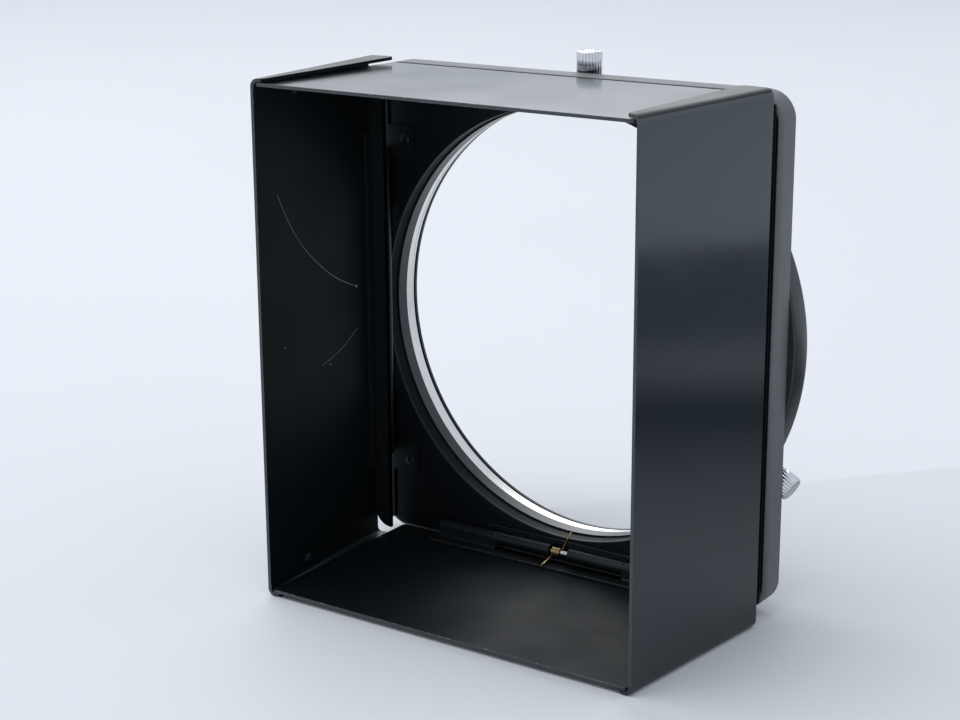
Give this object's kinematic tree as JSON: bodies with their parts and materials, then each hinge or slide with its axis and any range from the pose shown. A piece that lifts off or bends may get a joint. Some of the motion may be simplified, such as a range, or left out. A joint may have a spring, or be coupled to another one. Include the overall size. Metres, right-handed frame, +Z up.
{
  "type": "folding lens hood",
  "caption": "Rectangular folding metal lens hood with hinged walls and a clamp ring tightened by radial thumbscrews.",
  "frame": {"origin": "centre of the clamp bore, in the plane of the thumbscrews", "axes": "+Y along the lens axis from the mouth of the hood towards the lens, +X to the right seen from the mouth, +Z up"},
  "size_m": [0.0878, 0.0498, 0.0968],
  "materials": {
    "black_enamel": "satin black enamel",
    "wall_enamel": "satin black enamel",
    "ring_enamel": "semi-gloss black anodised",
    "bright_band": "turned bright",
    "chrome": "bright chrome",
    "foot_brass": "turned",
    "spring_brass": "bright wire",
    "pin_steel": "drawn wire",
    "rivet_black": "enamelled over"
  },
  "bodies": {
    "base": {"back_plate": "black_enamel", "clamp_ring": "ring_enamel", "spring_band": "bright_band", "top_hinge_plate_leaf": "black_enamel", "bottom_hinge_plate_leaf": "black_enamel", "left_hinge_plate_leaf": "black_enamel", "right_hinge_plate_leaf": "black_enamel", "top_hinge_pin": "pin_steel", "bottom_hinge_pin": "pin_steel", "left_hinge_pin": "pin_steel", "right_hinge_pin": "pin_steel", "top_hinge_spring": "spring_brass", "bottom_hinge_spring": "spring_brass", "left_hinge_rivets": "rivet_black", "right_hinge_rivets": "rivet_black"},
    "top_wall": {"top_wall": "wall_enamel", "top_hinge_wall_leaf": "wall_enamel"},
    "bottom_wall": {"bottom_wall": "wall_enamel", "bottom_hinge_wall_leaf": "wall_enamel"},
    "left_wall": {"left_wall": "wall_enamel", "left_hinge_wall_leaf": "wall_enamel", "left_wall_studs": "rivet_black"},
    "right_wall": {"right_wall": "wall_enamel", "right_hinge_wall_leaf": "wall_enamel", "right_wall_studs": "rivet_black"},
    "foot_top": {"screw_foot_top": "foot_brass"},
    "screw_top": {"thumb_screw_top": "chrome"},
    "foot_right": {"screw_foot_right": "foot_brass"},
    "screw_right": {"thumb_screw_right": "chrome"},
    "foot_left": {"screw_foot_left": "foot_brass"},
    "screw_left": {"thumb_screw_left": "chrome"}
  },
  "joints": [
    {"name": "top_wall_fold", "type": "hinge", "parent": "base", "child": "top_wall", "pos_m": [0, -0.00875, 0.043], "axis": [1, 0, 0], "range_deg": [0, 90.8], "stiffness_Nm_per_rad": 0.004, "springref_deg": -90.01, "deforming": ["top_hinge_spring"]},
    {"name": "bottom_wall_fold", "type": "hinge", "parent": "base", "child": "bottom_wall", "pos_m": [0, -0.00875, -0.043], "axis": [-1, 0, 0], "range_deg": [0, 90.8], "stiffness_Nm_per_rad": 0.004, "springref_deg": -90.01, "deforming": ["bottom_hinge_spring"]},
    {"name": "left_wall_swing", "type": "hinge", "parent": "base", "child": "left_wall", "pos_m": [-0.03925, -0.0095, 0], "axis": [0, 0, -1], "range_deg": [0, 60]},
    {"name": "right_wall_swing", "type": "hinge", "parent": "base", "child": "right_wall", "pos_m": [0.03925, -0.0095, 0], "axis": [0, 0, 1], "range_deg": [0, 60]},
    {"name": "top_screw_travel", "type": "slide", "parent": "base", "child": "foot_top", "axis": [0, 0, 1], "range_m": [-0.00045, 0.00068]},
    {"name": "top_screw_turn", "type": "hinge", "parent": "foot_top", "child": "screw_top", "pos_m": [0, 0, 0.0445], "axis": [0, 0, 1], "range_deg": [-361, 541]},
    {"name": "right_screw_travel", "type": "slide", "parent": "base", "child": "foot_right", "axis": [0.866, 0, -0.5], "range_m": [-0.00045, 0.00068]},
    {"name": "right_screw_turn", "type": "hinge", "parent": "foot_right", "child": "screw_right", "pos_m": [0.03854, 0, -0.02225], "axis": [0.866, 0, -0.5], "range_deg": [-361, 541]},
    {"name": "left_screw_travel", "type": "slide", "parent": "base", "child": "foot_left", "axis": [-0.866, 0, -0.5], "range_m": [-0.00045, 0.00068]},
    {"name": "left_screw_turn", "type": "hinge", "parent": "foot_left", "child": "screw_left", "pos_m": [-0.03854, 0, -0.02225], "axis": [-0.866, 0, -0.5], "range_deg": [-361, 541]}
  ],
  "couplings": [
    {"joint": "top_screw_turn", "follows": "top_screw_travel", "rad_per_m": 13963},
    {"joint": "right_screw_turn", "follows": "right_screw_travel", "rad_per_m": 13963},
    {"joint": "left_screw_turn", "follows": "left_screw_travel", "rad_per_m": 13963}
  ]
}
